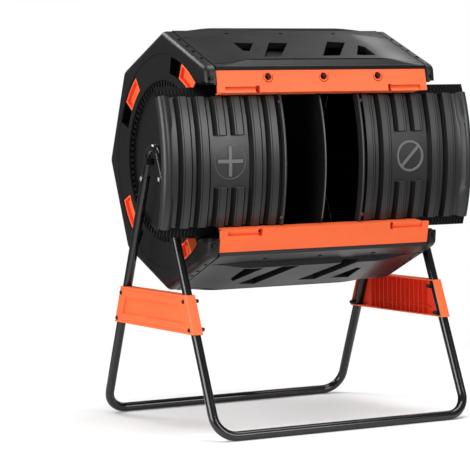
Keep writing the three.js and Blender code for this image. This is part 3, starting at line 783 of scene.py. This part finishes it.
def endCap():
    face, pitFloor, holdFloor = cap["face"], cap["face"] - cap["pit"], cap["face"] - cap["holdDepth"]
    discRadius, discFloor = cap["disc"][0], cap["face"] - cap["disc"][1]
    bm = combined(capSkin(), [slab(inwards(capOutline(), 6), cap["start"] - 10, face - 4)])
    added = [disc(cap["recess"][0] + 6, pitFloor - 4, face - 1),
             disc(cap["hub"], cap["hubStart"], face, 32)]
    cut = [disc(cap["recess"][0], face - cap["recess"][1], face + 5), disc(discRadius, discFloor, face + 4),
           ringCut(*cap["pitRadius"], pitFloor, face, 72)]
    for start, gripEnd, end in cap["holds"]:
        added.append(slab(sector(start, end, 3), holdFloor - 3, face - 1))
        cut.append(slab(sector(start, end, 0), holdFloor, face + 6))
    bm = combined(bm, added, "UNION")
    cut.append(ringCut(cap["circle"] - 0.9, cap["circle"] + 0.9, face - 1.3, face + 3, 96))
    bm = combined(bm, cut + besideDoor(-1) + besideDoor(1))
    hub = combined(disc(cap["hub"] + 8, discFloor - 1, face - 3, 40),
                   [disc(cap["bush"], face - 20, face + 10, 32)])
    for part in bm.faces:  # painted shade: the pit and the open hand-holds take the near-black second material
        place = part.calc_center_median()
        out = math.hypot(place.y, place.z)
        inPit = place.x < face - 7 and cap["pitRadius"][0] - 0.5 < out < cap["pitRadius"][1] + 0.5
        inHold = (cap["holdRadius"][0] - 1 < out < cap["holdRadius"][1] + 1
                  and holdFloor - 1 < place.x < face - 3)
        part.material_index = int(inPit or inHold)
    teeth = slab(cap["tooth"], pitFloor - 1, face - 4)
    bmesh.ops.spin(teeth, geom=teeth.verts[:] + teeth.edges[:] + teeth.faces[:], cent=(0, 0, 0),
                   axis=(1, 0, 0), angle=math.tau * (1 - 1 / cap["teeth"]), steps=cap["teeth"] - 1,
                   use_duplicate=True)
    return joined(bm, teeth, hub)


def outermost(bm):  # the face furthest out, and the largest of those
    def reach(face):
        return face.calc_center_median().x + face.calc_area() * 1e-6
    return max(bm.faces, key=reach)


def handGrip(start, end):
    holdFloor = cap["face"] - cap["holdDepth"]
    bm = slab(sector(start, end, -grip["gap"]), holdFloor + grip["lift"], cap["face"] - grip["set"])
    bmesh.ops.inset_region(bm, faces=[outermost(bm)], thickness=grip["rim"], depth=0, use_even_offset=True)
    walls = bmesh.ops.inset_region(bm, faces=[outermost(bm)], thickness=grip["wall"], depth=-grip["deep"],
                                   use_even_offset=True)["faces"]
    # painted shade: the recess walls take the darker orange
    for wall in walls:
        wall.material_index = 1
    return bm


divider = {"gap": 5, "front": 179, "archUp": 147.5, "archRadius": 448, "archMiddle": 225, "half": 3,
           "bore": 9.5, "beadUp": 140, "bead": (2, 1.2)}


def dividerArch(radius, heights):
    return [(divider["archMiddle"] - math.sqrt(radius ** 2 - z ** 2), z) for z in heights]


def centreDivider():
    radius = (apothem - divider["gap"]) / math.cos(math.pi / 8)
    shoulder = ringPoint(45, radius)
    front, up = divider["front"], divider["archUp"]
    rise = (radius - shoulder[1]) / -shoulder[0]
    corner = (-front, radius - rise * front)
    arch = dividerArch(divider["archRadius"], [up * (1 - i / 12) for i in range(25)])
    back = [ringPoint(degrees, radius) for degrees in (90, 135, 180, 225, 270)]
    outline = [corner] + back + [(-front, -corner[1]), (-front, -up)] + arch[::-1] + [(-front, up)]
    return combined(slab(outline, -divider["half"], divider["half"]), [disc(divider["bore"], -20, 20, 24)])


# painted highlight: a thin light grey strip along the divider's front arch
def dividerHighlightBead():
    deep, half = divider["bead"]
    up = divider["beadUp"]
    edge = dividerArch(divider["archRadius"] + 0.6, range(-up, up + 1, 14))
    return slab(edge + [(y + deep, z) for y, z in reversed(edge)], -half, half)


for side, name in ((1, "right"), (-1, "left")):
    shape = endCap() if side > 0 else flipped(endCap())
    makePiece(name + "_cap_cover", shape, blackPlastic, "drum", [name + "_end_cap"], bevel=0.5, segments=1,
              second=paintedShadePlastic)
    for i, (start, gripEnd, end) in enumerate(cap["holds"], 1):
        shape = handGrip(start, gripEnd) if side > 0 else flipped(handGrip(start, gripEnd))
        makePiece(f"{name}_hand_pad_{i}", shape, orangePlastic, "drum", [f"{name}_grip_{i}"], bevel=1.2,
                  second=orangePaintedShade)
# painted shade: the divider wall in an extra dark black
makePiece("divider_wall", centreDivider(), shadedDividerPlastic, "drum", ["center_divider"], bevel=0.8)
# painted highlight: the light grey strip on the divider's front edge
makePiece("divider_highlight_bead", dividerHighlightBead(), signGreyAndHighlight, "drum", bevel=0.4)
print("end caps, grips and divider done")


stand = {
    "x": 334.6, "spread": 29.9, "slope": 0.43, "tube": 11, "topBend": 25, "baseBend": 50, "joint": 34,
    "ground": axleUp * 1000, "baseJoint": 25,
    "nutHeights": (308, 245), "nut": [(309, 0), (310, 3), (312, 4.6), (319, 4.6), (319, 0)],
}
brace = {"top": 323, "low": 235, "beyond": 14.3, "wall": 3, "fold": 9, "raised": (299, 258, -24),
         "shelf": ((-138, 138), (-372, -369)), "ribs": 13, "ribPitch": 20, "ribHalf": 1.2}


def legOffset(drop):
    return stand["spread"] + stand["slope"] * drop


def tubeAlong(start, corner, end, radius, steps):  # a bent tube with closed ends
    start, corner, end = Vector(start), Vector(corner), Vector(end)
    first, second = (corner - start).normalized(), (end - corner).normalized()
    turn = first.angle(second)
    reach = radius * math.tan(turn / 2)
    across = (second - first * math.cos(turn)).normalized()
    centre = corner - first * reach + across * radius
    bm = bmesh.new()
    around = Vector((0, 0, 1)).rotation_difference(first).to_matrix().to_4x4()
    bmesh.ops.create_circle(bm, segments=32, radius=stand["tube"], cap_ends=True,
                            matrix=Matrix.Translation(start) @ around)
    grown = bmesh.ops.extrude_face_region(bm, geom=list(bm.faces))["geom"]
    bmesh.ops.translate(bm, verts=only(grown, bmesh.types.BMVert), vec=corner - first * reach - start)
    swung = bmesh.ops.spin(bm, geom=only(grown, bmesh.types.BMFace), cent=centre,
                           axis=first.cross(second), angle=turn, steps=steps)["geom_last"]
    grown = bmesh.ops.extrude_face_region(bm, geom=only(swung, bmesh.types.BMFace))["geom"]
    bmesh.ops.translate(bm, verts=only(grown, bmesh.types.BMVert), vec=end - (corner + second * reach))
    return closedOutwards(bm)


def legTube(side, baseEnd):
    top, foot = stand["joint"] + 0.3, stand["ground"] - stand["tube"]
    y = side * legOffset(foot)
    return tubeAlong((stand["x"], side * legOffset(top), -top), (stand["x"], y, -foot), (baseEnd, y, -foot),
                     stand["baseBend"], 12)


def topBend():
    y, peak = legOffset(stand["joint"]), stand["spread"] / stand["slope"]
    x, up = stand["x"], -stand["joint"]
    return tubeAlong((x, -y, up), (x, 0, peak), (x, y, up), stand["topBend"], 20)


def braceOutline(top, low, beyond):  # between two heights, reaching past the legs' lines
    past, ground = beyond / math.cos(math.atan(stand["slope"])), stand["ground"]
    lowHalf, topHalf = legOffset(ground - low) + past, legOffset(ground - top) + past
    low, top = low - ground, top - ground
    return [(-lowHalf, low), (lowHalf, low), (topHalf, top), (-topHalf, top)]


def legBrace():
    top, low, wall, ground = brace["top"], brace["low"], brace["wall"], stand["ground"]
    x = stand["x"] + stand["tube"] + 0.3
    outer = slab(braceOutline(top, low, brace["beyond"]), x - 23, x + wall)
    folds = []
    for edge in outer.edges:  # the two upright edges of the front
        first, second = edge.verts[0].co, edge.verts[1].co
        if abs(first.x - second.x) < 1 and first.x > x and abs(first.z - second.z) > 20:
            folds.append(edge)
    bmesh.ops.bevel(outer, geom=folds, offset=brace["fold"], segments=6, profile=0.5, affect="EDGES",
                    material=-1)
    hollow = slab(braceOutline(top - wall, low + wall, brace["beyond"] - wall), x - 40, x)
    bm = combined(outer, [hollow])
    bm = combined(bm, [slab(braceOutline(top - 1, low + 1, -13), x - 5, x + 1)], "UNION")
    bm = combined(bm, [slab(braceOutline(*brace["raised"]), x - 1, x + 6),
                       slab(braceOutline(top - 6, top - 7.5, 4), x + 1.6, x + 6),
                       slab(braceOutline(low + 7.5, low + 6, 4), x + 1.6, x + 6)])
    # painted shade: the faces turned to the drum and the ribs behind take the darker orange
    for face in bm.faces:
        face.material_index = int(face.normal.x < -0.5 and face.calc_center_median().x > x - 12)
    ribs = [block((x - 10, x - 4), *brace["shelf"])]
    for i in range(brace["ribs"]):
        y = (i - (brace["ribs"] - 1) / 2) * brace["ribPitch"]
        ribs.append(block((x - 18, x - 4), (y - brace["ribHalf"], y + brace["ribHalf"]),
                          (low + wall - ground, top - wall - ground)))
    for rib in ribs:
        for face in rib.faces:
            face.material_index = 1
    return joined(bm, *ribs)


def braceNuts():
    nuts = []
    for height in stand["nutHeights"]:
        up = height - stand["ground"]
        nuts += [turned(stand["nut"], 20, cent=(side * legOffset(-up), up)) for side in (-1, 1)]
    return joined(*nuts)


legs = {"right_front_leg": legTube(-1, stand["baseJoint"] + 0.3),
        "right_rear_leg": legTube(1, -stand["baseJoint"] + 0.3),
        "left_rear_leg": rotated(legTube(-1, stand["baseJoint"] + 0.3), 180, "Z"),
        "left_front_leg": rotated(legTube(1, -stand["baseJoint"] + 0.3), 180, "Z")}
for name, shape in legs.items():
    makePiece(name + "_tube", shape, blackPaint, "stand", [name], bevel=1)
for side, name in ((1, "right"), (-1, "left")):
    bend, cover, nuts = topBend(), legBrace(), braceNuts()
    if side < 0:
        for shape in (bend, cover, nuts):
            flipped(shape)
    makePiece(name + "_bend_tube", bend, blackPaint, "stand", [name + "_top_bend"], bevel=0.8)
    makePiece(name + "_brace_cover", cover, orangePlastic, "stand", [name + "_leg_brace"], bevel=0.8,
              second=orangePaintedShade)
    makePiece(name + "_brace_nuts", nuts, darkSteel, "stand", bevel=0.3)
print("stand done")


slotFinish = {"black_plastic": blackPlastic, "door_plastic": doorPlastic, "orange_plastic": orangePlastic,
              "black_paint": blackPaint, "dark_steel": darkSteel, "bright_steel": brightSteel,
              "grey_steel": greySteel}
for part in frame["record"]["subparts"]:
    node = frame["nodes"][part["node"]]
    node.data.materials.clear()
    node.data.materials.append(slotFinish[part["material_slot"]])
